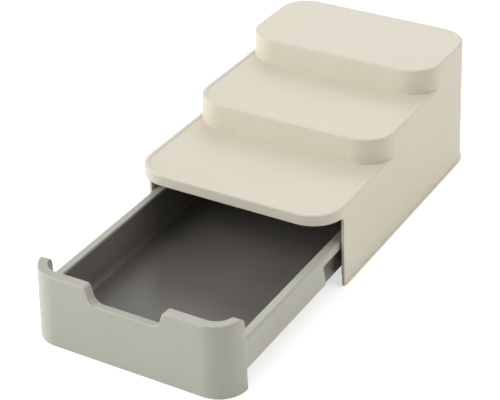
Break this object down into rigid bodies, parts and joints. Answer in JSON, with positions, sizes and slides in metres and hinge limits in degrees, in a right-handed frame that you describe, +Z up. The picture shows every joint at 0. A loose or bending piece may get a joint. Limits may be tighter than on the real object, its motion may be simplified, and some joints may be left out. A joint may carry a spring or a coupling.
{
  "type": "condiment caddy with drawer",
  "caption": "Three-tier cream plastic condiment caddy with a sage drawer on side runners, its dark tray half pulled out through an open front.",
  "frame": {"origin": "on the table, under the middle of the whole part as stored, with its drawer pulled half out", "axes": "+X to the right seen from the front, +Y from the drawer front towards the back, +Z up"},
  "size_m": [0.1762, 0.4114, 0.1119],
  "materials": {
    "cream_plastic": "fine satin moulded texture",
    "sage_plastic": "fine satin moulded texture",
    "dark_grey_plastic": "satin",
    "rubber_pad": "matt"
  },
  "bodies": {
    "caddy": {"tiered_shell": "cream_plastic", "left_runner": "cream_plastic", "right_runner": "cream_plastic", "front_left_foot": "rubber_pad", "front_right_foot": "rubber_pad", "rear_left_foot": "rubber_pad", "rear_right_foot": "rubber_pad"},
    "drawer": {"drawer_frame": "sage_plastic", "drawer_tray": "dark_grey_plastic"}
  },
  "joints": [
    {"name": "drawer_slide", "type": "slide", "parent": "caddy", "child": "drawer", "axis": [0, 1, 0], "range_m": [-0.0075, 0.1424]}
  ]
}
